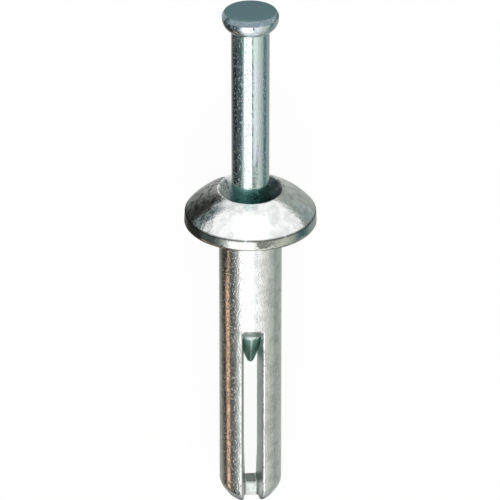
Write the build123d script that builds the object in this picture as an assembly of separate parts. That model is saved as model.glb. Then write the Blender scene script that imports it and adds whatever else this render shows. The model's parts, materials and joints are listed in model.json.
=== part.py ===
from build123d import *
import math
import os

# Hammer drive anchor: a die-cast zinc body with a mushroom head and split legs,
# and a plated steel drive pin that stands in its bore, ready to be hammered home.
# Lengths are in millimetres and angles in degrees. Each piece is drawn upright on its own
# axis, with the underside of the mushroom head at height zero, and both are then laid down.

# Shank of the body
BODY_DIAMETER = 6.2
BODY_LENGTH = 31.75
LEG_ROOT_DEPTH = 10.5
LEG_SPREAD = 0.045
TIP_END_DIAMETER = 4.2
TIP_TAPER_HEIGHT = 1.58
TIP_SHOULDER_RADIUS = 1.8
TIP_END_RADIUS = 1.0

# Mushroom head of the body
HEAD_DIAMETER = 12.98
RIM_HEIGHT = 1.03
RIM_DRAFT = 0.06
RIM_EDGE_RADIUS = 0.12
DOME_RADIUS = 8.25
NECK_FLARE = 0.2
RECESS_DIAMETER = 6.3
RECESS_EDGE_RADIUS = 0.25

# Slot that splits the shank into two legs, drafted from both faces
SLOT_TOP_DEPTH = 11.15
SLOT_SKIN_WIDTH = 2.04
SLOT_MIDDLE_WIDTH = 1.28
SLOT_FOOT_WIDTH = 1.04
SLOT_NARROWING_HEIGHT = 3.6
SLOT_CORNER_RADIUS = 0.3
SLOT_EDGE_RADIUS = 0.2

# Web that ties the two legs at the tip
WEB_HEIGHT = 1.75
WEB_THICKNESS = 1.54
WEB_FILLET_RADIUS = 0.25

# Drive pin
PIN_DIAMETER = 3.68
PIN_LENGTH = 38.7
PIN_HEAD_DIAMETER = 5.45
PIN_HEAD_BAND = 0.2
PIN_HEAD_CROWN_HEIGHT = 0.36
PIN_HEAD_FLAT_DIAMETER = 5.0
PIN_HEAD_UNDERSIDE_BULGE = 0.26
POINT_HALF_ANGLE = 19.0
POINT_FLAT = 0.2

# Fit of the pin in the body, before it is driven
PIN_STAND = 22.44
SEAT_HALF_ANGLE = 34.0
BORE_CLEARANCE = 0.03
POINT_CLEARANCE = 0.06

# Room left to either side when the slot's edges are looked up
EDGE_SEARCH_MARGIN = 0.03
EDGE_TOUCH_DISTANCE = 1e-4

# Sizes that follow from the ones above
body_radius = BODY_DIAMETER / 2
leg_radius = body_radius + LEG_SPREAD
head_radius = HEAD_DIAMETER / 2
rim_top_radius = head_radius - RIM_DRAFT
pin_radius = PIN_DIAMETER / 2
pin_head_radius = PIN_HEAD_DIAMETER / 2
bore_radius = pin_radius + BORE_CLEARANCE
dome_centre = RIM_HEIGHT - math.sqrt(DOME_RADIUS**2 - rim_top_radius**2)
seat_slope = math.tan(math.radians(SEAT_HALF_ANGLE))
point_slope = math.tan(math.radians(POINT_HALF_ANGLE))
point_end = PIN_STAND - PIN_LENGTH
web_top = WEB_HEIGHT - BODY_LENGTH
slot_skin_depth = math.sqrt(body_radius**2 - (SLOT_SKIN_WIDTH / 2) ** 2)
slot_draft = (SLOT_SKIN_WIDTH - SLOT_MIDDLE_WIDTH) / 2 / slot_skin_depth


def dome_height(radius):
    """Height of the dome over the underside of the mushroom head, at a distance from the axis."""
    return dome_centre + math.sqrt(DOME_RADIUS**2 - radius**2)


def half_foot_width(distance):
    """Half the slot's width beside the web, at a distance from the middle plane."""
    share = distance / slot_skin_depth
    return (SLOT_FOOT_WIDTH + share * (SLOT_SKIN_WIDTH - SLOT_FOOT_WIDTH)) / 2


def turned(*lines):
    """Turns a closed half profile, drawn as radius and height, about the anchor's axis."""
    profile = make_face(Wire([edge for line in lines for edge in line.edges()]))
    return revolve(Plane.XZ * profile, Axis.Z)


# Body as cast, before its bore and slot

def body_blank():
    crown = (0, dome_height(0))
    rim_top = (rim_top_radius, RIM_HEIGHT)
    dome_middle = (rim_top_radius / 2, dome_height(rim_top_radius / 2))
    foot = (0, -BODY_LENGTH)
    side = FilletPolyline(
        rim_top,
        (head_radius, 0),
        (body_radius + NECK_FLARE, 0),
        (body_radius, -NECK_FLARE),
        (body_radius, -LEG_ROOT_DEPTH),
        (leg_radius, TIP_TAPER_HEIGHT - BODY_LENGTH),
        (TIP_END_DIAMETER / 2, -BODY_LENGTH),
        foot,
        radius=[0, 0, 0, 0, TIP_SHOULDER_RADIUS, TIP_END_RADIUS],
    )
    blank = turned(ThreePointArc(crown, dome_middle, rim_top), side, Line(foot, crown))
    circles = blank.edges().filter_by(GeomType.CIRCLE).filter_by(Plane.XY)
    rim_edge = circles.sort_by(lambda edge: abs(edge.arc_center.Z - RIM_HEIGHT))[0]
    return fillet(rim_edge, RIM_EDGE_RADIUS)


# Countersunk mouth, bore and the seat of the pin's point

def bore_cutter():
    mouth_radius = RECESS_DIAMETER / 2
    mouth = dome_height(mouth_radius)
    clear_top = dome_height(0) + RECESS_EDGE_RADIUS
    seat_end = point_end - POINT_CLEARANCE
    profile = Polyline(
        (0, clear_top),
        (mouth_radius + (clear_top - mouth) * seat_slope, clear_top),
        (bore_radius, mouth - (mouth_radius - bore_radius) / seat_slope),
        (bore_radius, point_end + (pin_radius / math.sqrt(2) - POINT_FLAT / 2) / point_slope),
        (POINT_FLAT / math.sqrt(2) + POINT_CLEARANCE, seat_end),
        (0, seat_end),
        close=True,
    )
    return turned(profile)


# Slot: a window through the shank over the web, and a pocket each side of the web, open at
# the tip. Both widen by the draft from the middle plane out past the skin.

def window_outline(distance):
    growth = distance * slot_draft
    half_middle = SLOT_MIDDLE_WIDTH / 2 + growth
    half_foot = half_foot_width(distance)
    top = growth - slot_skin_depth * slot_draft - SLOT_TOP_DEPTH
    narrowing = web_top + SLOT_NARROWING_HEIGHT
    outline = FilletPolyline(
        (half_foot, -distance, web_top),
        (half_middle, -distance, narrowing),
        (half_middle, -distance, top),
        (-half_middle, -distance, top),
        (-half_middle, -distance, narrowing),
        (-half_foot, -distance, web_top),
        radius=[0, 0, SLOT_CORNER_RADIUS, SLOT_CORNER_RADIUS, 0, 0],
        close=True,
    )
    return make_face(outline)


def pocket_outline(distance):
    half_foot = half_foot_width(distance)
    plane = Pos(0, -distance, web_top) * Rot(X=90)
    return plane * Rectangle(2 * half_foot, WEB_HEIGHT + body_radius, align=(Align.CENTER, Align.MAX))


def slot_cutter():
    past_skin = BODY_DIAMETER
    window = loft([window_outline(0), window_outline(past_skin)], ruled=True)
    pocket = loft([pocket_outline(WEB_THICKNESS / 2), pocket_outline(past_skin)], ruled=True)
    web_face = pocket.faces().sort_by(Axis.Y)[-1]
    pocket = fillet(web_face.edges().filter_by(Axis.Z), WEB_FILLET_RADIUS)
    half = window + pocket
    return half + mirror(half, Plane.XZ)


def slot_skin_edges(split, blank):
    """Edges that the slot leaves in the skin of the shank, above its end face."""
    skin = blank.shells()[0]
    along_edge = (0, 0.5, 1)

    def on_skin(edge):
        middle = edge @ 0.5
        beside_slot = abs(middle.X) < SLOT_SKIN_WIDTH / 2 + EDGE_SEARCH_MARGIN
        on_shank = -BODY_LENGTH + EDGE_SEARCH_MARGIN < middle.Z < 0
        if not (beside_slot and on_shank):
            return False
        gaps = [skin.distance_to(Vertex(edge @ share)) for share in along_edge]
        return max(gaps) < EDGE_TOUCH_DISTANCE

    return split.edges().filter_by(on_skin)


def anchor_body():
    blank = body_blank()
    split = blank - bore_cutter() - slot_cutter()
    mouth = split.edges().filter_by(GeomType.CIRCLE).sort_by(lambda edge: edge.arc_center.Z)[-1]
    split = fillet(mouth, RECESS_EDGE_RADIUS)
    return fillet(slot_skin_edges(split, blank), SLOT_EDGE_RADIUS)


# Envelope of the pin: a square spike whose ridges face the slot and the legs, and room above it

def point_envelope():
    full_width = PIN_HEAD_DIAMETER * math.sqrt(2)
    full_height = point_end + (full_width - POINT_FLAT) / 2 / point_slope
    spike_end = Pos(0, 0, point_end) * Rot(Z=45) * Rectangle(POINT_FLAT, POINT_FLAT)
    spike_root = Pos(0, 0, full_height) * Rot(Z=45) * Rectangle(full_width, full_width)
    above = extrude(spike_root, PIN_LENGTH, dir=(0, 0, 1))
    return loft([spike_end, spike_root], ruled=True) + above


def drive_pin():
    crown_start = PIN_STAND - PIN_HEAD_CROWN_HEIGHT
    band_start = crown_start - PIN_HEAD_BAND
    neck = (pin_radius, band_start - (pin_head_radius - pin_radius) / seat_slope)
    widest = (pin_head_radius, band_start)
    outline = Polyline(
        widest,
        (pin_head_radius, crown_start),
        (PIN_HEAD_FLAT_DIAMETER / 2, PIN_STAND),
        (0, PIN_STAND),
        (0, point_end),
        (pin_radius, point_end),
        neck,
    )
    blank = turned(SagittaArc(neck, widest, -PIN_HEAD_UNDERSIDE_BULGE), outline)
    return blank & point_envelope()


def lying_tilt():
    """Tilt of the anchor's axis when it lies on its rim and on the slot's two edges at the tip."""
    taper = math.atan2(leg_radius - TIP_END_DIAMETER / 2, TIP_TAPER_HEIGHT)
    shoulder_depth = BODY_LENGTH - TIP_TAPER_HEIGHT - TIP_SHOULDER_RADIUS * math.tan(taper / 2)
    half_span = SLOT_SKIN_WIDTH / 2 + SLOT_EDGE_RADIUS
    edge_depth = SLOT_EDGE_RADIUS + math.sqrt((leg_radius - SLOT_EDGE_RADIUS) ** 2 - half_span**2)
    return math.degrees(math.atan2(head_radius - edge_depth, shoulder_depth))


def drive_travel():
    """Way of the pin from where it stands to its seat in the countersunk mouth."""
    mouth_radius = RECESS_DIAMETER / 2
    widest = PIN_STAND - PIN_HEAD_CROWN_HEIGHT - PIN_HEAD_BAND
    head_apex = widest - pin_head_radius / seat_slope
    seat_apex = dome_height(mouth_radius) - mouth_radius / seat_slope
    bulge_rise = PIN_HEAD_UNDERSIDE_BULGE / math.sin(math.radians(SEAT_HALF_ANGLE))
    return head_apex - seat_apex - bulge_rise


# The anchor lies with its pin head towards +Y and its slot upright

pieces = {"anchor_body": anchor_body(), "drive_pin": drive_pin()}
tilt = lying_tilt()
turn = Rot(X=tilt - 90)
box = Compound([turn * piece for piece in pieces.values()]).bounding_box()
lying = Pos(-box.center().X, -box.center().Y, -box.min.Z) * turn

os.makedirs("parts", exist_ok=True)
for name, piece in pieces.items():
    export_step(lying * piece, f"parts/{name}.step")

print("tilt of the axis, degrees:", round(tilt, 4))
print("head's underside on the axis:", [round(value, 4) for value in lying.position])
print("way of the pin to its seat:", round(drive_travel(), 3))
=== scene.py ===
"""Hammer drive anchor: a die-cast zinc body and its zinc-plated steel drive pin, ready to be driven.

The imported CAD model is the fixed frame. This script dresses it: the body is a refined copy of its
solid with the skin that die casting leaves, the pin is turned again from its own sizes by a
Geometry Nodes lathe, and a small studio of lamps and reflector cards stands round the two.
Lengths are in millimetres unless a name says otherwise. Blender itself works in metres.
"""

from __future__ import annotations

import json
import logging
import math
from dataclasses import dataclass
from enum import Enum
from typing import Any, Callable

import bmesh
import bpy
from mathutils import Matrix, Vector

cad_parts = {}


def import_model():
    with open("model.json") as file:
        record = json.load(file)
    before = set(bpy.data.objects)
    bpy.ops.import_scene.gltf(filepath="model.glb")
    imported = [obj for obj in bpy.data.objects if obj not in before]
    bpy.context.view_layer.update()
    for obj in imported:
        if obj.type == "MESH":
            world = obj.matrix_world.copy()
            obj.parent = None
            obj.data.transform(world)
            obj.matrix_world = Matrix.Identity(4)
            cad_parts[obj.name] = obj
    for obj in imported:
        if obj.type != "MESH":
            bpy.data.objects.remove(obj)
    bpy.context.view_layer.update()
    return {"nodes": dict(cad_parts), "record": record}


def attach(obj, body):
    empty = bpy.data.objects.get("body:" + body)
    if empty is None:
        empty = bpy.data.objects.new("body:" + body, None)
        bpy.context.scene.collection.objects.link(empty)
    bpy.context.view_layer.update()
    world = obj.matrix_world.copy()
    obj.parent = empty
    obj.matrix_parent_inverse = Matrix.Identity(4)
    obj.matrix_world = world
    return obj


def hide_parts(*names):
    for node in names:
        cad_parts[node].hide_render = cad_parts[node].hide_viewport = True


LOG = logging.getLogger("hammer_drive_anchor")

MM = 0.001
PHOTO_SIDE = 500
SENSOR_WIDTH = 36.0


class Body(Enum):
    """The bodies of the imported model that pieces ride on."""

    ANCHOR = "body"
    PIN = "pin"


class Slot(Enum):
    """The record's material slots."""

    CAST_ZINC = "cast_zinc"
    PLATED_STEEL = "plated_steel"


# Colour and node helpers


def linear(hex_colour: str) -> tuple[float, float, float, float]:
    """Turn an sRGB hex colour into linear values.

    Args:
        hex_colour: Six hex digits, such as "c8ccc6".

    Returns:
        Red, green, blue and an alpha of 1, as Blender's sockets take them.
    """
    channels = [int(hex_colour[i : i + 2], 16) / 255 for i in (0, 2, 4)]
    values = [c / 12.92 if c <= 0.04045 else ((c + 0.055) / 1.055) ** 2.4 for c in channels]
    return (values[0], values[1], values[2], 1.0)


def add_node(
    tree: bpy.types.NodeTree,
    kind: str,
    settings: dict[str, Any] | None = None,
    inputs: dict[str | int, Any] | None = None,
) -> bpy.types.Node:
    """Add a node with its settings and links.

    Args:
        tree: The node tree it goes into.
        kind: The node's type name.
        settings: Properties to set on the node itself.
        inputs: Values or output sockets for its inputs, by name or by index.

    Returns:
        The new node.
    """
    node = tree.nodes.new(kind)
    for name, value in (settings or {}).items():
        setattr(node, name, value)
    for key, value in (inputs or {}).items():
        if isinstance(value, bpy.types.NodeSocket):
            tree.links.new(value, node.inputs[key])
        else:
            node.inputs[key].default_value = value
    return node


def new_material(name: str) -> tuple[bpy.types.Material, bpy.types.NodeTree]:
    """Make an empty node material.

    Args:
        name: The real material and how its surface was made.

    Returns:
        The material and its node tree.
    """
    material = bpy.data.materials.new(name)
    material.use_nodes = True
    material.node_tree.nodes.clear()
    return material, material.node_tree


class Wiring:
    """A node tree that is being wired up."""

    def __init__(self, tree: bpy.types.NodeTree) -> None:
        """Take a tree to work on.

        Args:
            tree: The node tree.
        """
        self.tree = tree

    def add(
        self,
        kind: str,
        settings: dict[str, Any] | None = None,
        inputs: dict[str | int, Any] | None = None,
    ) -> bpy.types.Node:
        """Add a node to the tree, as add_node does."""
        return add_node(self.tree, kind, settings, inputs)

    def worked_out(self, formula: Any) -> Any:
        """Wire up a formula.

        Args:
            formula: A number, a socket, or a tuple of an operation and its terms, which may be
                formulas in their turn.

        Returns:
            The number or the socket as it is, or the socket with the operation's result.
        """
        if not isinstance(formula, tuple):
            return formula
        operation, *terms = formula
        inputs = {number: self.worked_out(term) for number, term in enumerate(terms)}
        return self.add("ShaderNodeMath", {"operation": operation}, inputs).outputs[0]


# The anchor's own frame


@dataclass(frozen=True)
class AnchorFrame:
    """Where the anchor's axis lies: the head's underside is at height zero, the pin head above it."""

    origin: Vector
    up: Vector

    @classmethod
    def from_record(cls, record: dict[str, Any]) -> AnchorFrame:
        """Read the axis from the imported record's mount on the underside of the head.

        Args:
            record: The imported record.

        Returns:
            The anchor's frame, in metres.
        """
        mount = next(m for m in record["mounts"] if m["name"] == "head_underside")
        place = Vector(mount["pos_m"])
        return cls(Vector((0, place.y, place.z)), -Vector(mount["axis"]).normalized())

    @property
    def tilt(self) -> float:
        """Angle of the axis above the floor, in radians."""
        return math.asin(self.up.z)

    @property
    def to_row(self) -> Matrix:
        """The matrix that lays an upright drawing down in the row frame.

        Returns:
            The matrix, in metres.
        """
        across = Vector((1, 0, 0))
        behind = self.up.cross(across)
        turn = Matrix((across, behind, self.up)).transposed().to_4x4()
        return Matrix.Translation(self.origin) @ turn

    def direction(self, azimuth: float, elevation: float) -> Vector:
        """Return a direction in the row frame.

        Args:
            azimuth: Degrees about the axis, from straight over the floor towards +X.
            elevation: Degrees towards the pin head from square to the axis.

        Returns:
            A unit vector.
        """
        a, e = math.radians(azimuth), math.radians(elevation)
        upright = Vector((math.cos(e) * math.sin(a), -math.cos(e) * math.cos(a), math.sin(e)))
        return self.to_row.to_3x3() @ upright


# Finishes


@dataclass(frozen=True)
class Pattern:
    """An uneven pattern in a metal skin, by the real size of its features.

    A pixel of the render is about 0.1 mm on the anchor. Grain and pits are finer than that on the
    real one, so they are drawn as coarse as they need to show.
    """

    width_mm: float
    detail: float
    roughness: float = 0.5
    length_mm: float | None = None


@dataclass(frozen=True)
class Pits:
    """Small round pits in patches, which are where an uneven pattern is below the patch level.

    Each ratio is by the pits' spacing: the patch ratio gives the width of a patch, and the radius
    ratio how far a pit reaches from its middle.
    """

    spacing_mm: float
    depth_mm: float
    patch_level: float
    patch_edge: float = 0.08
    patch_ratio: float = 4.0
    patch_detail: float = 2.0
    radius_ratio: float = 0.42


@dataclass(frozen=True)
class Fade:
    """A value that goes from low to high, smooth at both ends, while a measure goes from start to end."""

    measure: bpy.types.NodeSocket
    start: float
    end: float
    low: Any = 0.0
    high: Any = 1.0


class MetalSkin(Wiring):
    """A metal's material while it is made, with the place of each point in the anchor's own frame.

    The place has the anchor's axis as its Y and the side away from the floor as its Z. Its measures
    are in millimetres.
    """

    def __init__(self, name: str, anchor: AnchorFrame, fraying: Pattern) -> None:
        """Start an empty material.

        Args:
            name: The real material and how its surface was made.
            anchor: The anchor's frame.
            fraying: The pattern that frays the edges of the marks on it.
        """
        self.material, tree = new_material(name)
        super().__init__(tree)
        stood = self.add(
            "ShaderNodeMapping",
            {"vector_type": "TEXTURE"},
            {
                "Vector": self.add("ShaderNodeTexCoord").outputs["Object"],
                "Location": tuple(anchor.origin),
                "Rotation": (anchor.tilt, 0.0, 0.0),
                "Scale": (MM, MM, MM),
            },
        )
        self.place = stood.outputs["Vector"]
        parts = self.add("ShaderNodeSeparateXYZ", inputs={0: self.place}).outputs
        self.sideways, self.height, self.frontwards = parts["X"], parts["Y"], parts["Z"]
        self.off_middle = self.worked_out(("ABSOLUTE", self.sideways))
        across = ("MULTIPLY", self.sideways, self.sideways)
        self.radius = self.worked_out(
            ("SQRT", ("ADD", across, ("MULTIPLY", self.frontwards, self.frontwards)))
        )
        self.fraying = self.laid(fraying)

    def laid(self, pattern: Pattern) -> bpy.types.NodeSocket:
        """Lay a pattern over the skin.

        Args:
            pattern: The pattern.

        Returns:
            Its level at each point, from 0 to 1.
        """
        across = 1 / pattern.width_mm
        along = 1 / (pattern.length_mm or pattern.width_mm)
        scaled = self.add(
            "ShaderNodeVectorMath",
            {"operation": "MULTIPLY"},
            {0: self.place, 1: (across, along, across)},
        )
        inputs = {
            "Vector": scaled.outputs["Vector"],
            "Scale": 1.0,
            "Detail": pattern.detail,
            "Roughness": pattern.roughness,
        }
        return self.add("ShaderNodeTexNoise", inputs=inputs).outputs["Fac"]

    def share(self, *parts: Fade | bpy.types.NodeSocket) -> bpy.types.NodeSocket:
        """Multiply fades and earlier shares with one another.

        Args:
            parts: The fades and the shares.

        Returns:
            Their product, which for one fade alone is the fade's own value.
        """
        product: Any = None
        for part in parts:
            value = part
            if isinstance(part, Fade):
                inputs = {
                    "Value": part.measure,
                    "From Min": part.start,
                    "From Max": part.end,
                    "To Min": part.low,
                    "To Max": part.high,
                }
                settings = {"interpolation_type": "SMOOTHSTEP"}
                value = self.add("ShaderNodeMapRange", settings, inputs).outputs["Result"]
            product = value if product is None else self.worked_out(("MULTIPLY", product, value))
        return product

    def pitted(self, pits: Pits, evenness: bpy.types.NodeSocket) -> bpy.types.NodeSocket:
        """Sink pits into an even skin.

        Args:
            pits: The pits.
            evenness: Least evenness of the skin, from 0 to 1, at which no pit is left.

        Returns:
            The height, from 0 at the bottom of a pit to 1.
        """
        inputs = {"Vector": self.place, "Scale": 1 / pits.spacing_mm, "Randomness": 1.0}
        distance = self.add("ShaderNodeTexVoronoi", inputs=inputs).outputs["Distance"]
        level = self.laid(Pattern(pits.spacing_mm * pits.patch_ratio, pits.patch_detail))
        between = self.share(Fade(level, pits.patch_level, pits.patch_level + pits.patch_edge))
        even = self.worked_out(("MAXIMUM", between, evenness))
        return self.share(Fade(distance, 0.0, pits.radius_ratio, even))

    def relief(self, *layers: tuple[bpy.types.NodeSocket, float]) -> bpy.types.NodeSocket:
        """Bend the skin by layers of relief, one on top of the other.

        Args:
            layers: For each layer, its height from 0 to 1 and its depth in millimetres.

        Returns:
            The normal of the bent skin.
        """
        under: dict[str | int, Any] = {}
        for height, depth_mm in layers:
            inputs = {"Strength": 1.0, "Distance": depth_mm * MM, "Height": height} | under
            under = {"Normal": self.add("ShaderNodeBump", inputs=inputs).outputs["Normal"]}
        return under["Normal"]

    def mixed(self, share: bpy.types.NodeSocket, first: Any, second: Any) -> bpy.types.NodeSocket:
        """Mix two colours.

        Args:
            share: The second colour's share.
            first: The first colour, as a socket or as hex digits.
            second: The second one, as a socket or as hex digits.

        Returns:
            The mixed colour.
        """
        both = [linear(colour) if isinstance(colour, str) else colour for colour in (first, second)]
        inputs = {0: share, 6: both[0], 7: both[1]}
        return self.add("ShaderNodeMix", {"data_type": "RGBA"}, inputs).outputs[2]

    def tinted(
        self, colour: bpy.types.NodeSocket, *tints: tuple[bpy.types.NodeSocket, str]
    ) -> bpy.types.NodeSocket:
        """Lay tints over a colour, each of which darkens what is under it.

        Args:
            colour: The colour.
            tints: For each tint, its share at each point and its hex digits.

        Returns:
            The tinted colour.
        """
        settings = {"data_type": "RGBA", "blend_type": "MULTIPLY"}
        for share, tint in tints:
            inputs = {0: share, 6: colour, 7: linear(tint)}
            colour = self.add("ShaderNodeMix", settings, inputs).outputs[2]
        return colour

    def finished(
        self, colour: bpy.types.NodeSocket, roughness: bpy.types.NodeSocket, normal: bpy.types.NodeSocket
    ) -> bpy.types.Material:
        """Finish the material.

        Args:
            colour: The metal's colour.
            roughness: Its roughness.
            normal: The normal of its skin.

        Returns:
            The material.
        """
        inputs = {"Base Color": colour, "Metallic": 1.0, "Roughness": roughness, "Normal": normal}
        surface = self.add("ShaderNodeBsdfPrincipled", inputs=inputs)
        self.add("ShaderNodeOutputMaterial", inputs={"Surface": surface.outputs["BSDF"]})
        return self.material


@dataclass(frozen=True)
class DieCastZinc:
    """Zinc alloy as it leaves the die: bright and hard-skinned, with fine pits and drag lines.

    The die's polish gives a near mirror, which the pits break up at the edge of each reflection. The
    core leaves a rougher film in the slot and the bore, and its darker colour there is painted shade.
    Painted shade darkens the recess of the head, most on its right, and the inner corners of the
    legs' ends. The parting face leaves the rim greyer than the dome, with a thin dark line where the
    two dies met. Painted shade darkens the corner under the head and the top of the web. The dome has
    stains in random patches that spare its polished front, laid thicker on its left as painted shade.

    In a pair of levels or lengths, a mark sets in at the first one and is full at the second.
    """

    name: str = "die_cast_zinc_alloy_as_cast"
    colour_bright: str = "f6f8f7"
    colour_dull: str = "dee1df"
    # Darker tint inside the slot and the bore: painted shade on the core's rougher film.
    colour_film_shade: str = "d8dcda"
    # Painted shade, laid in the head's recess and in the inner corners of the legs' ends.
    colour_painted_shade: str = "7a8486"
    colour_rim: str = "d9d9d4"
    # Dark colour of the dies' seam, and of the painted shade in the corner under the head.
    colour_seam_and_shade: str = "6a6d6b"
    # Colour of the dome's stains, laid on more thickly on its left side as painted shade.
    colour_stain_and_shade: str = "9ba1a3"
    # Painted shade on the top of the web.
    colour_web_top_shade: str = "aeb2af"
    roughness_bright: float = 0.08
    roughness_dull: float = 0.16
    roughness_film: float = 0.34
    tone_patches: Pattern = Pattern(1.0, 6.0, 0.62)
    tone_levels: tuple[float, float] = (0.38, 0.66)
    fraying: Pattern = Pattern(0.5, 4.0, 0.7)
    dents: Pattern = Pattern(0.9, 2.0)
    dent_depth_mm: float = 0.01
    grain: Pattern = Pattern(0.2, 2.0, 0.6)
    grain_depth_mm: float = 0.012
    pits: Pits = Pits(0.23, 0.03, 0.7)
    drag_lines: Pattern = Pattern(0.22, 3.0, 0.6, length_mm=2.6)
    drag_depth_mm: float = 0.004
    head_evenness: float = 0.86
    head_from_mm: tuple[float, float] = (-0.1, 0.3)
    skin_radius_mm: float = 2.92
    film_edge_mm: float = 0.2
    film_below_mm: float = 0.5
    recess_radius_mm: float = 3.25
    recess_spread_mm: float = 0.7
    recess_edge_mm: float = 0.15
    blotches: Pattern = Pattern(0.7, 3.0, 0.7)
    blotch_levels: tuple[float, float] = (0.26, 0.44)
    # How much of the recess's painted shade stays on its left side; its right side gets all of it.
    recess_shade_left_share: float = 0.06
    rim_height_mm: float = 1.04
    rim_radius_mm: float = 6.2
    rim_top_edge_mm: float = 0.08
    rim_inner_edge_mm: float = 0.1
    dome_edge_mm: float = 0.1
    seam_width_mm: float = 0.17
    seam_levels: tuple[float, float] = (0.26, 0.46)
    neck_radius_mm: float = 3.5
    neck_low_mm: tuple[float, float] = (-0.36, -0.12)
    neck_high_mm: float = 0.06
    neck_levels: tuple[float, float] = (0.42, 0.54)
    polished_place_mm: tuple[float, float, float] = (0.0, 2.4, 4.6)
    polished_radius_mm: float = 3.4
    polished_edge_mm: float = 1.1
    stains: Pattern = Pattern(0.6, 5.0, 0.72)
    stain_levels: tuple[float, float] = (0.48, 0.58)
    stain_shade_right_share: float = 0.3
    web_top_mm: float = 30.0
    web_below_mm: float = 0.14
    web_above_mm: tuple[float, float] = (0.3, 0.2)
    web_half_widths_mm: tuple[float, float] = (0.5, 0.45)
    leg_end_mm: tuple[float, float] = (30.9, 31.2)
    leg_end_levels: tuple[float, float] = (0.34, 0.44)
    leg_outer_mm: tuple[float, float] = (1.5, 1.3)
    leg_inner_mm: tuple[float, float] = (0.7, 0.9)

    def in_slot(self, skin: MetalSkin) -> bpy.types.NodeSocket:
        """Return the slot and bore's share of the core's rough film, whose darker tint is painted shade.
        """
        return skin.share(
            Fade(skin.radius, self.skin_radius_mm, self.skin_radius_mm - self.film_edge_mm),
            Fade(skin.height, 0.0, -self.film_below_mm),
        )

    def in_recess(self, skin: MetalSkin) -> bpy.types.NodeSocket:
        """Find the recess in the head, whose edge is frayed.

        Args:
            skin: The skin.

        Returns:
            Its share.
        """
        edge = skin.worked_out(("MULTIPLY_ADD", skin.fraying, self.recess_spread_mm, skin.radius))
        reach = self.recess_radius_mm + self.recess_spread_mm / 2
        return skin.share(
            Fade(edge, reach + self.recess_edge_mm, reach - self.recess_edge_mm),
            Fade(skin.height, self.skin_radius_mm / 3, self.skin_radius_mm / 2),
        )

    def on_rim(self, skin: MetalSkin) -> tuple[bpy.types.NodeSocket, bpy.types.NodeSocket]:
        """Find the rim and the seam along its upper edge.

        Args:
            skin: The skin.

        Returns:
            The rim's share and the seam's share.
        """
        top = self.rim_height_mm
        start = self.rim_radius_mm - self.rim_inner_edge_mm
        far_out = skin.share(Fade(skin.radius, start, self.rim_radius_mm))
        rim = skin.share(Fade(skin.height, top, top - self.rim_top_edge_mm), far_out)
        seam = skin.share(
            Fade(skin.height, top - self.seam_width_mm, top),
            Fade(skin.height, top + self.seam_width_mm, top),
            far_out,
            Fade(skin.fraying, *self.seam_levels),
        )
        return rim, seam

    def shade_under_head(self, skin: MetalSkin) -> bpy.types.NodeSocket:
        """Return the share of the painted shade in the corner under the head."""
        return skin.share(
            Fade(skin.height, *self.neck_low_mm),
            Fade(skin.height, self.neck_high_mm, 0.0),
            Fade(skin.radius, self.neck_radius_mm, self.skin_radius_mm),
            Fade(skin.fraying, *self.neck_levels),
        )

    def on_dome(self, skin: MetalSkin) -> bpy.types.NodeSocket:
        """Find the dome's stains, which spare its polished front; their thicker left is painted shade.

        Args:
            skin: The skin.

        Returns:
            Their share.
        """
        from_front = skin.add(
            "ShaderNodeVectorMath",
            {"operation": "DISTANCE"},
            {0: skin.place, 1: self.polished_place_mm},
        ).outputs["Value"]
        side = self.skin_radius_mm
        return skin.share(
            Fade(from_front, self.polished_radius_mm, self.polished_radius_mm + self.polished_edge_mm),
            Fade(skin.laid(self.stains), *self.stain_levels),
            Fade(skin.height, self.rim_height_mm, self.rim_height_mm + self.dome_edge_mm),
            # Thicker on the left side: painted shade.
            Fade(skin.sideways, -side, side, 1.0, self.stain_shade_right_share),
        )

    def on_web(self, skin: MetalSkin) -> bpy.types.NodeSocket:
        """Return the share of the painted shade on the web's top."""
        start, end = (above - self.web_top_mm for above in self.web_above_mm)
        return skin.share(
            Fade(skin.height, -self.web_top_mm - self.web_below_mm, -self.web_top_mm),
            Fade(skin.height, start, end),
            Fade(skin.off_middle, *self.web_half_widths_mm),
        )

    def on_leg_ends(self, skin: MetalSkin) -> bpy.types.NodeSocket:
        """Return the share of the painted shade in the inner corners of the legs' ends."""
        start, end = self.leg_end_mm
        return skin.share(
            Fade(skin.height, -start, -end),
            Fade(skin.fraying, *self.leg_end_levels),
            Fade(skin.off_middle, *self.leg_outer_mm),
            Fade(skin.off_middle, *self.leg_inner_mm),
        )

    def build(self, anchor: AnchorFrame) -> bpy.types.Material:
        """Make the material.

        Args:
            anchor: The anchor's frame, which tells the shader where the cores, the rim and the axis are.

        Returns:
            The material.
        """
        skin = MetalSkin(self.name, anchor, self.fraying)
        patches = skin.share(Fade(skin.laid(self.tone_patches), *self.tone_levels))
        film = self.in_slot(skin)
        recess = self.in_recess(skin)
        half = self.skin_radius_mm / 2
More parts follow.
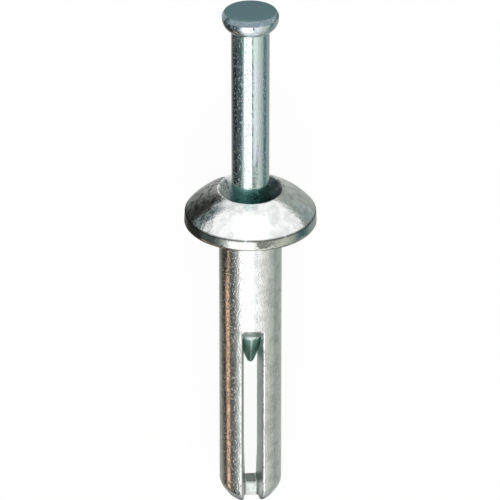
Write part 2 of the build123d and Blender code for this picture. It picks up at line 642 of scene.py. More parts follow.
        # Painted shade in the head's recess, in blotches, heavier on the right side.
        recess_shade = skin.share(
            recess,
            Fade(skin.laid(self.blotches), *self.blotch_levels),
            Fade(skin.sideways, -half, half / 2, self.recess_shade_left_share, 1.0),
        )
        rim, seam = self.on_rim(skin)
        colour = skin.tinted(
            skin.mixed(patches, self.colour_bright, self.colour_dull),
            (self.on_dome(skin), self.colour_stain_and_shade),
            (rim, self.colour_rim),
            (seam, self.colour_seam_and_shade),
            # Painted shade in the corner under the head.
            (self.shade_under_head(skin), self.colour_seam_and_shade),
            (recess_shade, self.colour_painted_shade),
            # The film's darker colour inside the slot and the bore is painted shade.
            (film, self.colour_film_shade),
            # Painted shade on the web's top.
            (self.on_web(skin), self.colour_web_top_shade),
            # Painted shade in the inner corners of the legs' ends.
            (self.on_leg_ends(skin), self.colour_painted_shade),
        )
        sheen = skin.add(
            "ShaderNodeMapRange",
            inputs={"Value": patches, "To Min": self.roughness_bright, "To Max": self.roughness_dull},
        )
        cored = skin.worked_out(("MAXIMUM", film, recess))
        roughness = skin.add(
            "ShaderNodeMix",
            {"data_type": "FLOAT"},
            {0: cored, 2: sheen.outputs["Result"], 3: self.roughness_film},
        )
        polished = skin.share(Fade(skin.height, *self.head_from_mm, 0.0, self.head_evenness))
        normal = skin.relief(
            (skin.laid(self.dents), self.dent_depth_mm),
            (skin.laid(self.grain), self.grain_depth_mm),
            (skin.pitted(self.pits, polished), self.pits.depth_mm),
            (skin.laid(self.drag_lines), self.drag_depth_mm),
        )
        return skin.finished(colour, roughness.outputs[0], normal)


@dataclass(frozen=True)
class PassivatedZincPlate:
    """Bright zinc plate on drawn steel wire, passivated blue: glossy, with a blue-green cast.

    The passivate's thickness drifts along the wire, so its tint wanders from teal to blue to green.
    The plate's grain makes the edges of dark reflections sparkle, and the wire keeps fine lines along
    it from the drawing die. The pinched faces of the point are rougher, so they look even, and their
    strong teal is a painted reflection. The head's crown is darker than its struck top, and the wire
    is darker and teal where it stands in the body's mouth; both are painted shade.

    In a pair of levels or lengths, a mark sets in at the first one and is full at the second.
    """

    name: str = "zinc_plated_steel_blue_passivated"
    colour_blue: str = "d7dfe8"
    colour_teal: str = "d2e0e1"
    colour_green: str = "d2e3de"
    # Painted reflection: the teal of the point's pinched faces.
    colour_point_reflection: str = "8fb8ad"
    colour_ridge: str = "dcebe6"
    # Painted shade on the crown of the pin's head.
    colour_crown_shade: str = "9ca8b0"
    # Painted shade on the wire where it stands in the body's mouth.
    colour_seated_shade: str = "8db4b2"
    roughness_low: float = 0.05
    roughness_high: float = 0.13
    roughness_point: float = 0.42
    gloss_levels: tuple[float, float] = (0.35, 0.7)
    tints: Pattern = Pattern(4.0, 2.0)
    tint_levels: tuple[float, float, float] = (0.36, 0.5, 0.64)
    fraying: Pattern = Pattern(0.35, 4.0, 0.7)
    fraying_mm: float = 0.5
    frayed_edge_mm: tuple[float, float] = (0.33, 0.17)
    grain: Pattern = Pattern(0.16, 2.0, 0.6)
    grain_depth_mm: float = 0.006
    pits: Pits = Pits(0.19, 0.03, 0.7)
    drag_lines: Pattern = Pattern(0.16, 2.0, length_mm=5.0)
    drag_depth_mm: float = 0.002
    stand_mm: float = 22.44
    top_edge_mm: tuple[float, float] = (0.06, 0.02)
    top_evenness: float = 0.94
    crown_mm: float = 0.38
    crown_radius_mm: float = 2.42
    crown_edge_mm: float = 0.05
    crown_inner_edge_mm: float = 0.06
    crown_levels: tuple[float, float] = (0.3, 0.42)
    seated_height_mm: float = 4.3
    seated_low_mm: float = -0.5
    point_height_mm: float = -12.78
    ridge_width_mm: float = 0.13

    def wandering_tint(self, skin: MetalSkin) -> bpy.types.NodeSocket:
        """Make the passivate's tint, which wanders between three colours.

        Args:
            skin: The skin.

        Returns:
            The tint.
        """
        tint = skin.add("ShaderNodeValToRGB", inputs={"Fac": skin.laid(self.tints)})
        elements = tint.color_ramp.elements
        elements.new(self.tint_levels[1])
        for element, level, colour in zip(
            elements, self.tint_levels, (self.colour_blue, self.colour_teal, self.colour_green)
        ):
            element.position = level
            element.color = linear(colour)
        return tint.outputs["Color"]

    def below_frayed(self, skin: MetalSkin, height: float) -> Fade:
        """Mark what is below a height on the pin, with a frayed edge.

        Args:
            skin: The skin.
            height: The height.

        Returns:
            The fade, which is 1 below it.
        """
        torn = skin.worked_out(("MULTIPLY_ADD", skin.fraying, self.fraying_mm, skin.height))
        above, below = self.frayed_edge_mm
        return Fade(torn, height + above, height + below)

    def on_crown(self, skin: MetalSkin) -> bpy.types.NodeSocket:
        """Return the share of the painted shade on the head's crown, round its struck top."""
        low = self.stand_mm - self.crown_mm
        return skin.share(
            Fade(skin.height, low - self.crown_edge_mm, low + self.crown_edge_mm),
            Fade(skin.radius, self.crown_radius_mm, self.crown_radius_mm + self.crown_inner_edge_mm),
            Fade(skin.fraying, *self.crown_levels),
        )

    def build(self, anchor: AnchorFrame) -> bpy.types.Material:
        """Make the material.

        Args:
            anchor: The anchor's frame, along which the wire was drawn.

        Returns:
            The material.
        """
        skin = MetalSkin(self.name, anchor, self.fraying)
        # Painted shade, darker and teal, on the wire where it stands in the body's mouth.
        seated_shade = skin.share(
            self.below_frayed(skin, self.seated_height_mm),
            Fade(skin.height, self.seated_low_mm, 0.0),
        )
        wire = skin.tinted(
            self.wandering_tint(skin),
            # Painted shade on the head's crown.
            (self.on_crown(skin), self.colour_crown_shade),
            (seated_shade, self.colour_seated_shade),
        )
        off_ridges = skin.worked_out(("MINIMUM", skin.off_middle, ("ABSOLUTE", skin.frontwards)))
        ridges = skin.share(Fade(off_ridges, self.ridge_width_mm, self.ridge_width_mm / 3))
        # The point's teal faces are a painted reflection; its ridges are paler.
        point = skin.mixed(ridges, self.colour_point_reflection, self.colour_ridge)
        pinched = skin.share(self.below_frayed(skin, self.point_height_mm))
        grain = skin.laid(self.grain)
        gloss = skin.share(Fade(grain, *self.gloss_levels, self.roughness_low, self.roughness_high))
        start, end = (self.stand_mm - below for below in self.top_edge_mm)
        struck = skin.share(Fade(skin.height, start, end, 0.0, self.top_evenness))
        normal = skin.relief(
            (grain, self.grain_depth_mm),
            (skin.pitted(self.pits, struck), self.pits.depth_mm),
            (skin.laid(self.drag_lines), self.drag_depth_mm),
        )
        return skin.finished(
            skin.mixed(pinched, wire, point),
            skin.share(Fade(pinched, 0.0, 1.0, gloss, self.roughness_point)),
            normal,
        )


# Geometry Nodes


class NodeTool(Wiring):
    """A Geometry Nodes tree with named inputs, which is run on an object and turned into a plain mesh."""

    def __init__(self, name: str, inputs: dict[str, tuple[str, Any]]) -> None:
        """Start a tree.

        Args:
            name: The tree's name.
            inputs: For each named input, its socket type and its value.
        """
        super().__init__(bpy.data.node_groups.new(name, "GeometryNodeTree"))
        face = self.tree.interface
        face.new_socket("Geometry", in_out="INPUT", socket_type="NodeSocketGeometry")
        face.new_socket("Geometry", in_out="OUTPUT", socket_type="NodeSocketGeometry")
        self.values: dict[str, Any] = {}
        for label, (socket_type, value) in inputs.items():
            socket = face.new_socket(label, in_out="INPUT", socket_type=socket_type)
            self.values[socket.identifier] = value
        self.source = self.add("NodeGroupInput")

    def end(self, geometry: bpy.types.NodeSocket, material: bpy.types.Material) -> None:
        """Finish the tree.

        Args:
            geometry: The geometry to hand out.
            material: The material that every face gets.
        """
        real = self.add("GeometryNodeRealizeInstances", inputs={"Geometry": geometry})
        dressed = self.add(
            "GeometryNodeSetMaterial",
            inputs={"Geometry": real.outputs[0], "Material": material},
        )
        self.add("NodeGroupOutput", inputs={"Geometry": dressed.outputs[0]})

    def run(self, obj: bpy.types.Object) -> None:
        """Run the tree on an object and keep the result as the object's plain mesh.

        Args:
            obj: A mesh object, which is changed in place.
        """
        modifier = obj.modifiers.new(self.tree.name, "NODES")
        modifier.node_group = self.tree
        for identifier, value in self.values.items():
            modifier[identifier] = value
        bpy.context.view_layer.update()
        evaluated = obj.evaluated_get(bpy.context.evaluated_depsgraph_get())
        mesh = bpy.data.meshes.new_from_object(evaluated)
        obj.modifiers.clear()
        old, obj.data = obj.data, mesh
        bpy.data.meshes.remove(old)
        mesh.name = obj.name


def mesh_object(name: str, mesh: bpy.types.Mesh) -> bpy.types.Object:
    """Put a mesh in the scene.

    Args:
        name: The object's name.
        mesh: Its mesh.

    Returns:
        The object, which is at the origin.
    """
    obj = bpy.data.objects.new(name, mesh)
    bpy.context.scene.collection.objects.link(obj)
    return obj


def shade(obj: bpy.types.Object, crease_angle: float) -> None:
    """Shade an object's faces smooth, and keep its creases sharp.

    Args:
        obj: A mesh object.
        crease_angle: The angle between two faces, in degrees, past which their edge is a crease.
    """
    obj.data.shade_smooth()
    obj.data.set_sharp_from_angle(angle=math.radians(crease_angle))


# The cast body


@dataclass
class CastBody:
    """The anchor's die-cast body: mushroom head, split shank and the web that ties its legs."""

    anchor: AnchorFrame
    finish: DieCastZinc
    body_diameter: float = 6.2
    leg_root_depth: float = 10.5
    leg_end_depth: float = 30.17
    leg_spread: float = 0.045
    dome_radius: float = 8.25
    rim_top_radius: float = 6.43
    rim_radius: float = 6.49
    rim_height: float = 1.03
    slot_top_depth: float = 11.15
    slot_half_width: float = 1.03
    slot_slope: float = 0.95
    slot_slope_reach: float = 2.6
    bore_radius: float = 1.87
    longest_edge: float = 0.5
    refining_passes: int = 5
    weld_distance: float = 0.0005
    facet_error: float = 0.02
    crease_angle: float = 34.0
    wave_length: float = 1.7
    wave_depth: float = 0.014
    wave_detail: float = 1.5
    shrinkage: float = 0.009
    seed: float = 3.7

    def merged_copy(self, node: bpy.types.Object) -> bmesh.types.BMesh:
        """Copy a node's loose triangles and join them into one closed surface.

        Args:
            node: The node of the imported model.

        Returns:
            The joined surface, stood up in the anchor's own frame and in millimetres.
        """
        surface = bmesh.new()
        surface.from_mesh(node.data)
        bmesh.ops.transform(surface, matrix=self.anchor.to_row.inverted(), verts=surface.verts)
        bmesh.ops.scale(surface, vec=Vector((1, 1, 1)) / MM, verts=surface.verts)
        bmesh.ops.remove_doubles(surface, verts=surface.verts, dist=self.weld_distance)
        return surface

    def refine(self, surface: bmesh.types.BMesh) -> None:
        """Split the surface's long triangles, so that it can be trued up and can carry the cast skin.

        Args:
            surface: The surface, which is changed in place.
        """
        for _ in range(self.refining_passes):
            long_edges = [e for e in surface.edges if e.calc_length() > self.longest_edge]
            bmesh.ops.subdivide_edges(surface, edges=long_edges, cuts=1)
            bmesh.ops.triangulate(surface, faces=[f for f in surface.faces if len(f.verts) > 3])

    def shank_radius(self, height: float) -> float:
        """Return the shank's radius at a height, which is below zero."""
        share = (-height - self.leg_root_depth) / (self.leg_end_depth - self.leg_root_depth)
        return self.body_diameter / 2 + max(0.0, min(1.0, share)) * self.leg_spread

    def true_up(self, surface: bmesh.types.BMesh) -> None:
        """Move points from the solid's flat facets out to the round skin that they stand for.

        Args:
            surface: The surface, which is changed in place.
        """
        dome_centre = self.rim_height - math.sqrt(self.dome_radius**2 - self.rim_top_radius**2)
        rim_slope = (self.rim_top_radius - self.rim_radius) / self.rim_height
        for vertex in surface.verts:
            x, y, z = vertex.co
            radius = math.hypot(x, y)
            if z < 0:
                true_radius = self.shank_radius(z)
            elif z < self.rim_height and radius > self.dome_radius / 2:
                true_radius = self.rim_radius + rim_slope * z
            else:
                from_centre = math.hypot(radius, z - dome_centre)
                if abs(from_centre - self.dome_radius) < self.facet_error:
                    stretch = self.dome_radius / from_centre
                    vertex.co = (x * stretch, y * stretch, dome_centre + (z - dome_centre) * stretch)
                continue
            if z > -self.leg_end_depth and abs(radius - true_radius) < self.facet_error:
                vertex.co = (x * true_radius / radius, y * true_radius / radius, z)

    def slope_slot_end(self, surface: bmesh.types.BMesh) -> None:
        """Lean the end of the slot inwards, as the core that casts it does, from the skin to the bore.

        Args:
            surface: The surface, which is changed in place.
        """
        for vertex in surface.verts:
            x, y, z = vertex.co
            below_end = -z - self.slot_top_depth
            radius = math.hypot(x, y)
            inside = abs(x) < self.slot_half_width and radius > self.bore_radius - self.facet_error
            if inside and -self.facet_error < below_end < self.slot_slope_reach:
                depth = max(0.0, self.body_diameter / 2 - radius)
                share = 1 - max(0.0, below_end) / self.slot_slope_reach
                vertex.co.z -= depth * self.slot_slope * share

    def cast_skin(self, obj: bpy.types.Object, material: bpy.types.Material) -> None:
        """Give the surface the slight hollows and the shrinkage of cast metal, all of it inwards.

        Args:
            obj: The body, in the row frame.
            material: The material that it gets.
        """
        tool = NodeTool(
            "cast_skin",
            {
                "Wave length": ("NodeSocketFloat", self.wave_length * MM),
                "Wave depth": ("NodeSocketFloat", self.wave_depth * MM),
                "Shrinkage": ("NodeSocketFloat", self.shrinkage * MM),
                "Seed": ("NodeSocketFloat", self.seed),
            },
        )
        given = tool.source.outputs
        waves = tool.add(
            "ShaderNodeTexNoise",
            {"noise_dimensions": "4D"},
            {
                "Vector": tool.add("GeometryNodeInputPosition").outputs[0],
                "W": given["Seed"],
                "Scale": tool.worked_out(("DIVIDE", 1.0, given["Wave length"])),
                "Detail": self.wave_detail,
            },
        )
        hollow = ("MULTIPLY", waves.outputs["Fac"], given["Wave depth"])
        depth = tool.worked_out(("MULTIPLY", ("ADD", hollow, given["Shrinkage"]), -1.0))
        inwards = tool.add(
            "ShaderNodeVectorMath",
            {"operation": "SCALE"},
            {0: tool.add("GeometryNodeInputNormal").outputs[0], "Scale": depth},
        )
        moved = tool.add(
            "GeometryNodeSetPosition",
            inputs={"Geometry": given["Geometry"], "Offset": inwards.outputs[0]},
        )
        tool.end(moved.outputs[0], material)
        tool.run(obj)

    def build(self, node: bpy.types.Object) -> bpy.types.Object:
        """Make the body and let it stand for its node.

        Args:
            node: The body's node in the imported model.

        Returns:
            The finished piece.
        """
        surface = self.merged_copy(node)
        self.refine(surface)
        self.true_up(surface)
        self.slope_slot_end(surface)
        bmesh.ops.scale(surface, vec=Vector((MM, MM, MM)), verts=surface.verts)
        bmesh.ops.transform(surface, matrix=self.anchor.to_row, verts=surface.verts)
        mesh = bpy.data.meshes.new("cast_body")
        surface.to_mesh(mesh)
        surface.free()
        # Refining leaves a few slivers without width twice or more, and this drops the doubles.
        # Which of two doubles it drops can change from run to run.
        mesh.validate()
        piece = mesh_object("cast_body", mesh)
        shade(piece, self.crease_angle)
        self.cast_skin(piece, self.finish.build(self.anchor))
        shade(piece, self.crease_angle)
        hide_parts(node.name)
        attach(piece, Body.ANCHOR.value)
        return piece


# The drive pin


@dataclass
class DrivePin:
    """The drive pin: a nail of plated wire with a button head and a four-sided point."""

    anchor: AnchorFrame
    finish: PassivatedZincPlate
    stand: float = 22.44
    length: float = 38.58
    shank_diameter: float = 3.68
    head_diameter: float = 5.45
    band_height: float = 0.2
    crown_height: float = 0.36
    flat_diameter: float = 5.0
    belly: float = 0.26
    belly_half_angle: float = 34.0
    point_half_angle: float = 17.0
    point_flat: float = 0.4
    edge_rounding: float = 0.07
    square_up_to: float = 0.8
    belly_spans: int = 8
    corner_spans: int = 4
    segments: int = 144
    ring_spacing: float = 0.5
    point_ring_spacing: float = 0.09
    weld_distance: float = 0.001
    crease_angle: float = 28.0

    @property
    def ridge_slope(self) -> float:
        """How fast the point's ridges leave the axis."""
        return math.tan(math.radians(self.point_half_angle)) * math.sqrt(2)

    @property
    def end_radius(self) -> float:
        """Distance of the ridges from the axis at the point's end."""
        return self.point_flat / math.sqrt(2)

    @property
    def ridge_height(self) -> float:
        """Height of the point, from its end to where its ridges run out into the round wire."""
        return (self.shank_diameter / 2 - self.end_radius) / self.ridge_slope

    def belly_arc(self, low: Vector, high: Vector) -> list[Vector]:
        """Bulge the underside of the head.

        Args:
            low: Where the underside meets the shank, as radius and height.
            high: Where it meets the head's band.

        Returns:
            The points between the two ends.
        """
        chord = high - low
        outwards = Vector((chord.y, -chord.x)).normalized()
        points = []
        for step in range(1, self.belly_spans):
            share = step / self.belly_spans
            points.append(low + chord * share + outwards * self.belly * 4 * share * (1 - share))
        return points

    def profile(self) -> list[Vector]:
        """Draw the pin's half outline from its point up.

        Returns:
            Its points, as radius and height.
        """
        shank = self.shank_diameter / 2
        head = self.head_diameter / 2
        crown_start = self.stand - self.crown_height
        band_start = crown_start - self.band_height
        belly_height = (head - shank) / math.tan(math.radians(self.belly_half_angle))
        neck = Vector((shank, band_start - belly_height))
        point_end = self.stand - self.length
        point_root = point_end + self.ridge_height
        wire = neck.y - point_root
        point_rings = int(self.ridge_height / self.point_ring_spacing)
        rings = int(wire / self.ring_spacing)
        heights = [point_end + self.ridge_height * i / point_rings for i in range(point_rings)]
        heights += [point_root + wire * i / rings for i in range(rings + 1)]
        outline = [Vector((0, point_end))]
        outline += [Vector((shank, height)) for height in heights]
        outline += self.belly_arc(neck, Vector((head, band_start)))
        outline += self.rounded(
            [
                Vector((head, band_start)),
                Vector((head, crown_start)),
                Vector((self.flat_diameter / 2, self.stand)),
                Vector((self.flat_diameter / 4, self.stand)),
            ]
        )
        outline.append(Vector((0, self.stand)))
        return outline

    def rounded(self, corners: list[Vector]) -> list[Vector]:
        """Round the inner corners of a run of the outline, as the header's die leaves them.

        Args:
            corners: The run's corners, as radius and height.

        Returns:
            The run with each inner corner drawn as a short curve.
        """
        points = [corners[0]]
        for before, corner, after in zip(corners, corners[1:], corners[2:]):
            start = corner + (before - corner).normalized() * self.edge_rounding
            end = corner + (after - corner).normalized() * self.edge_rounding
            for step in range(self.corner_spans + 1):
                share = step / self.corner_spans
                points.append(start.lerp(corner, share).lerp(corner.lerp(end, share), share))
        return points + [corners[-1]]

    def lathe(self, obj: bpy.types.Object, material: bpy.types.Material) -> None:
        """Turn the outline about the axis and pinch its end to a four-sided point.

        The point is square at its end and grows rounder up to where its ridges meet the wire.

        Args:
            obj: The outline as a mesh of points, which becomes the pin.
            material: The material that it gets.
        """
        tool = NodeTool(
            "pin_lathe",
            {
                "Segments": ("NodeSocketInt", self.segments),
                "Point end": ("NodeSocketFloat", (self.stand - self.length) * MM),
                "Ridge slope": ("NodeSocketFloat", self.ridge_slope),
                "End radius": ("NodeSocketFloat", self.end_radius * MM),
                "Square up to": ("NodeSocketFloat", self.square_up_to * MM),
                "Round from": ("NodeSocketFloat", self.ridge_height * MM),
            },
        )
        given = tool.source.outputs
        points = tool.add("GeometryNodeAttributeDomainSize", inputs={"Geometry": given["Geometry"]})
        rows = points.outputs["Point Count"]
        columns = tool.worked_out(("ADD", given["Segments"], 1.0))
        grid = tool.add("GeometryNodeMeshGrid", inputs={"Vertices X": columns, "Vertices Y": rows})
        index = tool.add("GeometryNodeInputIndex").outputs[0]
        column = tool.worked_out(("FLOOR", ("DIVIDE", ("ADD", index, 0.5), rows)))
        outline = tool.add(
            "GeometryNodeSampleIndex",
            {"data_type": "FLOAT_VECTOR"},
            {
                "Geometry": given["Geometry"],
                "Value": tool.add("GeometryNodeInputPosition").outputs[0],
                "Index": tool.worked_out(("SUBTRACT", index, ("MULTIPLY", column, rows))),
            },
        )
        place = tool.add("ShaderNodeSeparateXYZ", inputs={0: outline.outputs[0]}).outputs
        turn = tool.worked_out(("DIVIDE", ("MULTIPLY", column, math.tau), given["Segments"]))
        height = tool.worked_out(("SUBTRACT", place["Z"], given["Point end"]))
        ridge = ("ADD", ("MULTIPLY", height, given["Ridge slope"]), given["End radius"])
        from_face = ("SUBTRACT", ("MODULO", turn, math.pi / 2), math.pi / 4)
        square = tool.worked_out(("DIVIDE", math.cos(math.pi / 4), ("COSINE", from_face)))
        roundness = tool.add(
            "ShaderNodeMapRange",
            {"interpolation_type": "SMOOTHSTEP"},
            {"Value": height, "From Min": given["Square up to"], "From Max": given["Round from"]},
        ).outputs["Result"]
        fullness = ("ADD", square, ("MULTIPLY", ("SUBTRACT", 1.0, square), roundness))
        radius = tool.worked_out(("MINIMUM", place["X"], ("MULTIPLY", ridge, fullness)))
        turned = tool.add(
            "ShaderNodeCombineXYZ",
            inputs={
                "X": tool.worked_out(("MULTIPLY", radius, ("COSINE", turn))),
                "Y": tool.worked_out(("MULTIPLY", radius, ("SINE", turn))),
                "Z": place["Z"],
            },
        )
        blank = tool.add(
            "GeometryNodeSetPosition",
            inputs={"Geometry": grid.outputs["Mesh"], "Position": turned.outputs[0]},
        )
        closed = tool.add(
            "GeometryNodeMergeByDistance",
            inputs={"Geometry": blank.outputs[0], "Distance": self.weld_distance * MM},
        )
        tool.end(closed.outputs[0], material)
        tool.run(obj)

    def build(self, node: bpy.types.Object) -> bpy.types.Object:
        """Make the pin and let it stand for its node.

        Args:
            node: The pin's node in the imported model.

        Returns:
            The finished piece.
        """
        mesh = bpy.data.meshes.new("drive_pin_plated")
        mesh.from_pydata([(p.x * MM, 0.0, p.y * MM) for p in self.profile()], [], [])
        piece = mesh_object("drive_pin_plated", mesh)
        self.lathe(piece, self.finish.build(self.anchor))
        piece.data.transform(self.anchor.to_row)
        shade(piece, self.crease_angle)
        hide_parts(node.name)
        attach(piece, Body.PIN.value)
        return piece


# The studio


@dataclass(frozen=True)
class Tone:
    """A tone on a reflector card."""

    place: float
    colour: str
    glow: float = 1.0


@dataclass(frozen=True)
class ReflectorCard:
    """A card that only the metal's reflections see. Its tones run from its start edge to its far edge."""

    name: str
    corner: tuple[float, float, float]
    width: tuple[float, float, float]
    rise: tuple[float, float, float]
    tones: tuple[Tone, ...]

    def material(self) -> bpy.types.Material:
        """Make the card's painted surface, which glows a little as a lit card does.

        Returns:
            The material.
        """
        material, tree = new_material(f"reflector_card_{self.name}")
        brightest = max(tone.glow for tone in self.tones)
        place = add_node(tree, "ShaderNodeUVMap", {"uv_map": "card"})
        up = add_node(tree, "ShaderNodeSeparateXYZ", inputs={0: place.outputs["UV"]})
        shades = add_node(tree, "ShaderNodeValToRGB", inputs={"Fac": up.outputs["Y"]})
        elements = shades.color_ramp.elements
        elements.remove(elements[1])
        for number, tone in enumerate(self.tones):
            element = elements[0] if number == 0 else elements.new(tone.place)
            element.position = tone.place
            red, green, blue, _ = linear(tone.colour)
            share = tone.glow / brightest
            element.color = (red * share, green * share, blue * share, 1.0)
        glow = add_node(
            tree,
            "ShaderNodeEmission",
            inputs={"Color": shades.outputs["Color"], "Strength": brightest},
        )
        add_node(tree, "ShaderNodeOutputMaterial", inputs={"Surface": glow.outputs[0]})
        material.cycles.emission_sampling = "NONE"
        return material

    def build(self) -> None:
        """Stand the card in the studio."""
        corner, width, rise = (Vector(v) * MM for v in (self.corner, self.width, self.rise))
        mesh = bpy.data.meshes.new(f"card_{self.name}")
        corners = [corner, corner + width, corner + width + rise, corner + rise]
        mesh.from_pydata(corners, [], [(0, 1, 2, 3)])
        layer = mesh.uv_layers.new(name="card")
        for loop, place in zip(layer.data, ((0, 0), (1, 0), (1, 1), (0, 1))):
            loop.uv = place
        card = mesh_object(f"card_{self.name}", mesh)
        mesh.materials.append(self.material())
        card.visible_camera = False
        card.visible_diffuse = False
        card.visible_shadow = False
        card.visible_transmission = False
        card.visible_volume_scatter = False


@dataclass(frozen=True)
class Softbox:
    """A soft lamp with a rectangular face, turned to the anchor.

    Its azimuth is about the anchor's axis and its elevation is towards the pin head, both in degrees.
    Its width is about the axis and its depth along it. At level 1 its face looks white.
    """

    name: str
    azimuth: float
    elevation: float
    distance: float
    width: float
    depth: float
    level: float

    def hang(self, anchor: AnchorFrame) -> None:
        """Hang the lamp in the studio.

        Args:
            anchor: The anchor's frame.
        """
        lamp = bpy.data.lights.new(self.name, "AREA")
        lamp.shape = "RECTANGLE"
        lamp.size = self.width * MM
        lamp.size_y = self.depth * MM
        lamp.energy = self.level * math.pi * lamp.size * lamp.size_y
        holder = bpy.data.objects.new(self.name, lamp)
        bpy.context.scene.collection.objects.link(holder)
        towards = anchor.direction(self.azimuth, self.elevation)
        across = Vector((0, 1, 0)).cross(towards).normalized()
        along = towards.cross(across)
        turn = Matrix((across, along, towards)).transposed().to_4x4()
        holder.matrix_world = Matrix.Translation(anchor.origin + towards * self.distance * MM) @ turn


@dataclass(frozen=True)
class Studio:
    """A white studio with a pale floor, two soft lamps and the cards that the metal mirrors.

    The pin mirrors the cards past pin_limit, and the shank those before it. A card on the floor lies
    a little above it.
    """

    anchor: AnchorFrame
    world_level: float = 1.03
    floor_side: float = 1600.0
    floor_colour: str = "f2f2f0"
    floor_white_share: float = 0.93
    softboxes: tuple[Softbox, ...] = (
        Softbox("key_softbox", -18.0, -32.0, 320.0, 250.0, 230.0, 0.8),
        Softbox("front_softbox", 0.0, 68.0, 300.0, 260.0, 200.0, 0.25),
    )
    pin_limit: float = -28.0
    wall: float = 62.0
    tip_end: float = -170.0
    camera_distance: float = 360.97
    camera_elevation: float = 28.99
    camera_azimuth: float = -4.6
    focal_pixels: float = 3695.2
    head_pixel: tuple[float, float] = (250.4, 218.87)

    def left_cards(self) -> list[ReflectorCard]:
        """Lay out the cards on the left, whose dark and tan stripes run along the shank.

        Returns:
            The cards, in the row frame.
        """
        return [
            ReflectorCard(
                "left_wall_of_shank",
                (-self.wall, self.tip_end, 0),
                (0, self.pin_limit - self.tip_end, 0),
                (0, 0, 72),
                (
                    Tone(0.0, "383938"),
                    Tone(0.2, "4e5150"),
                    Tone(0.42, "6c7170"),
                    Tone(0.64, "b2b7b5"),
                    Tone(1.0, "ffffff", 1.05),
                ),
            ),
            ReflectorCard(
                "left_wall_of_pin",
                (-self.wall, self.pin_limit, 0),
                (0, 46, 0),
                (0, 0, 150),
                (
                    Tone(0.0, "4c585a"),
                    Tone(0.24, "536466"),
                    Tone(0.34, "73868a"),
                    Tone(0.5, "b0bec2"),
                    Tone(0.74, "d8e0e6"),
                    Tone(1.0, "f8fafd"),
                ),
            ),
            ReflectorCard(
                "tan_board",
                (1 - self.wall, -70, 0),
                (0, 42, 0),
                (0, 0, 7),
                (Tone(0.0, "dfb69a", 1.2), Tone(0.4, "c9aa92"), Tone(1.0, "6f6860")),
            ),
            ReflectorCard(
                "tan_floor",
                (-17, -54, 0.1),
                (0, 45, 0),
                (-45, -23, 0),
                (
                    Tone(0.0, "574a40"),
                    Tone(0.1, "ab8469", 1.2),
                    Tone(0.28, "deb99e", 1.25),
                    Tone(1.0, "dcba9f", 1.25),
                ),
            ),
            ReflectorCard(
                "left_floor",
                (-2.4, self.tip_end, 0.05),
                (0, 230, 0),
                (-59, 0, 0),
                (
                    Tone(0.0, "a6a8a6"),
                    Tone(0.035, "b0b1af"),
                    Tone(0.07, "8f8f8c"),
                    Tone(0.12, "5a5c5b"),
                    Tone(0.18, "373634"),
                    Tone(1.0, "32322f"),
                ),
            ),
            ReflectorCard(
                "left_floor_gap",
                (-5, 24, 0.12),
                (0, 30, 0),
                (-16, 0, 0),
                (Tone(0.0, "f0f3f4"), Tone(0.8, "f0f3f4"), Tone(1.0, "a8abac")),
            ),
            ReflectorCard(
                "left_floor_of_dome",
                (-21, 12, 0.1),
                (0, 48, 0),
                (-40, 0, 0),
                (Tone(0.0, "7c8789"), Tone(1.0, "5c676a")),
            ),
        ]

    def right_cards(self) -> list[ReflectorCard]:
        """Lay out the cards on the right, which are pale beside the shank and teal beside the pin.

        Returns:
            The cards, in the row frame.
        """
        return [
            ReflectorCard(
                "right_wall",
                (self.wall, self.tip_end, 0),
                (0, 200, 0),
                (0, 0, 132),
                (
                    Tone(0.0, "b0b4ab"),
                    Tone(0.16, "b9bdb4"),
                    Tone(0.33, "d4d6cf"),
                    Tone(0.55, "eeeee8"),
                    Tone(0.8, "ffffff", 1.03),
                    Tone(1.0, "ffffff", 1.1),
                ),
            ),
            ReflectorCard(
                "right_board",
                (self.wall - 1, self.pin_limit + 2, 0),
                (0, 40, 0),
                (0, 0, 22),
                (Tone(0.0, "4a6a72"), Tone(0.4, "557880"), Tone(1.0, "a0b8ba")),
            ),
            ReflectorCard(
                "right_floor",
                (2.6, self.tip_end, 0.05),
                (0, 200, 0),
                (58, 0, 0),
                (
                    Tone(0.0, "d2d5d0"),
                    Tone(0.05, "b6bab5"),
                    Tone(0.12, "a6aba6"),
                    Tone(0.3, "9aa19c"),
                    Tone(1.0, "8b9592"),
                ),
            ),
            ReflectorCard(
                "right_floor_of_pin",
                (13, -1, 0.1),
                (0, 21, 0),
                (48, -25, 0),
                (Tone(0.0, "a9b2b0"), Tone(0.3, "768d8e"), Tone(1.0, "4a6a72")),
            ),
        ]

    def middle_cards(self) -> list[ReflectorCard]:
        """Lay out the cards under, over and behind the anchor.

        Returns:
            The cards, in the row frame.
        """
        return [
            ReflectorCard(
                "under_floor",
                (-2.4, -60, 0.04),
                (0, 57, 0),
                (5, 0, 0),
                (Tone(0.0, "c8cdcb"), Tone(1.0, "d6dad8")),
            ),
            ReflectorCard(
                "gap_bar",
                (10, -62, 105),
                (0, 44, 0),
                (13, 0, 0),
                (Tone(0.0, "45474b"), Tone(0.5, "1c1d20"), Tone(1.0, "5a6062")),
            ),
            ReflectorCard(
                "rim_shade",
                (1, -4.6, 25),
                (0, 3.6, 0),
                (16, 0, 0),
                (Tone(0.0, "b0b4b0"), Tone(0.2, "949894"), Tone(1.0, "8c908c")),
            ),
            ReflectorCard(
                "head_floor",
                (-6.5, 27.0, 0.06),
                (13, 0, 0),
                (0, 9.5, 0),
                (Tone(0.0, "637a7c"), Tone(0.8, "6d8486"), Tone(1.0, "8fa2a3")),
            ),
        ]

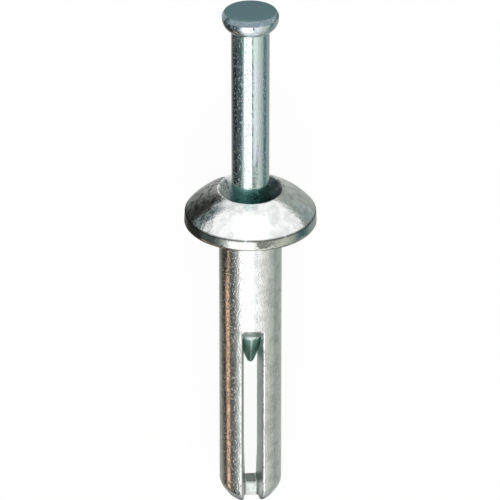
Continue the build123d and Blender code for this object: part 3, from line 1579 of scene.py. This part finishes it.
    def lay_floor(self) -> None:
        """Lay the pale floor, which looks white with a soft shadow, straight or in the metal."""
        half = self.floor_side / 2 * MM
        mesh = bpy.data.meshes.new("studio_floor")
        corners = [(-half, -half, 0), (half, -half, 0), (half, half, 0), (-half, half, 0)]
        mesh.from_pydata(corners, [], [(0, 1, 2, 3)])
        material, tree = new_material("matt_white_paper_sweep")
        wiring = Wiring(tree)
        paper = wiring.add("ShaderNodeBsdfDiffuse", inputs={"Color": linear(self.floor_colour)})
        white = wiring.add("ShaderNodeEmission", inputs={"Strength": 1.0})
        rays = wiring.add("ShaderNodeLightPath").outputs
        seen = ("MAXIMUM", rays["Is Camera Ray"], rays["Is Glossy Ray"])
        share = wiring.worked_out(("MULTIPLY", seen, self.floor_white_share))
        mixed = wiring.add(
            "ShaderNodeMixShader",
            inputs={0: share, 1: paper.outputs[0], 2: white.outputs[0]},
        )
        wiring.add("ShaderNodeOutputMaterial", inputs={"Surface": mixed.outputs[0]})
        material.cycles.emission_sampling = "NONE"
        mesh.materials.append(material)
        mesh_object("studio_floor", mesh)

    def light_world(self) -> None:
        """Fill the studio with even white light."""
        world = bpy.data.worlds.new("white_tent")
        world.use_nodes = True
        world.node_tree.nodes.clear()
        tent = add_node(
            world.node_tree,
            "ShaderNodeBackground",
            inputs={"Color": linear("ffffff"), "Strength": self.world_level},
        )
        add_node(world.node_tree, "ShaderNodeOutputWorld", inputs={"Surface": tent.outputs[0]})
        bpy.context.scene.world = world

    def stand_camera(self) -> None:
        """Stand the camera where the photograph was taken from, and frame the anchor as it does."""
        back = self.anchor.direction(self.camera_azimuth, self.camera_elevation)
        right = self.anchor.up.cross(back).normalized()
        up = back.cross(right)
        down_turn = math.atan((PHOTO_SIDE / 2 - self.head_pixel[1]) / self.focal_pixels)
        side_turn = math.atan((self.head_pixel[0] - PHOTO_SIDE / 2) / self.focal_pixels)
        aim = (back + up * math.tan(down_turn) + right * math.tan(side_turn)).normalized()
        right = up.cross(aim).normalized()
        turn = Matrix((right, aim.cross(right), aim)).transposed().to_4x4()
        lens = bpy.data.cameras.new("photo_camera")
        lens.sensor_width = SENSOR_WIDTH
        lens.lens = self.focal_pixels * SENSOR_WIDTH / PHOTO_SIDE
        lens.clip_end = 10.0
        camera = bpy.data.objects.new("photo_camera", lens)
        bpy.context.scene.collection.objects.link(camera)
        place = Matrix.Translation(self.anchor.origin + back * self.camera_distance * MM)
        camera.matrix_world = place @ turn
        bpy.context.scene.camera = camera

    def build(self) -> None:
        """Set up the whole studio."""
        self.lay_floor()
        self.light_world()
        for softbox in self.softboxes:
            softbox.hang(self.anchor)
        for card in self.left_cards() + self.right_cards() + self.middle_cards():
            card.build()
        self.stand_camera()
        bpy.context.scene.view_settings.view_transform = "Standard"


def main() -> None:
    """Load the frame, build the pieces and the studio, and note the sizes."""
    logging.basicConfig(level=logging.INFO, format="%(message)s")
    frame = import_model()
    anchor = AnchorFrame.from_record(frame["record"])
    makers: dict[str, Callable[[bpy.types.Object], bpy.types.Object]] = {
        "anchor_body": CastBody(anchor, DieCastZinc()).build,
        "drive_pin": DrivePin(anchor, PassivatedZincPlate()).build,
    }
    for node_name, make in makers.items():
        piece = make(frame["nodes"][node_name])
        LOG.info("%s: %d faces, for %s", piece.name, len(piece.data.polygons), node_name)
    Studio(anchor).build()


if __name__ == "__main__":
    main()
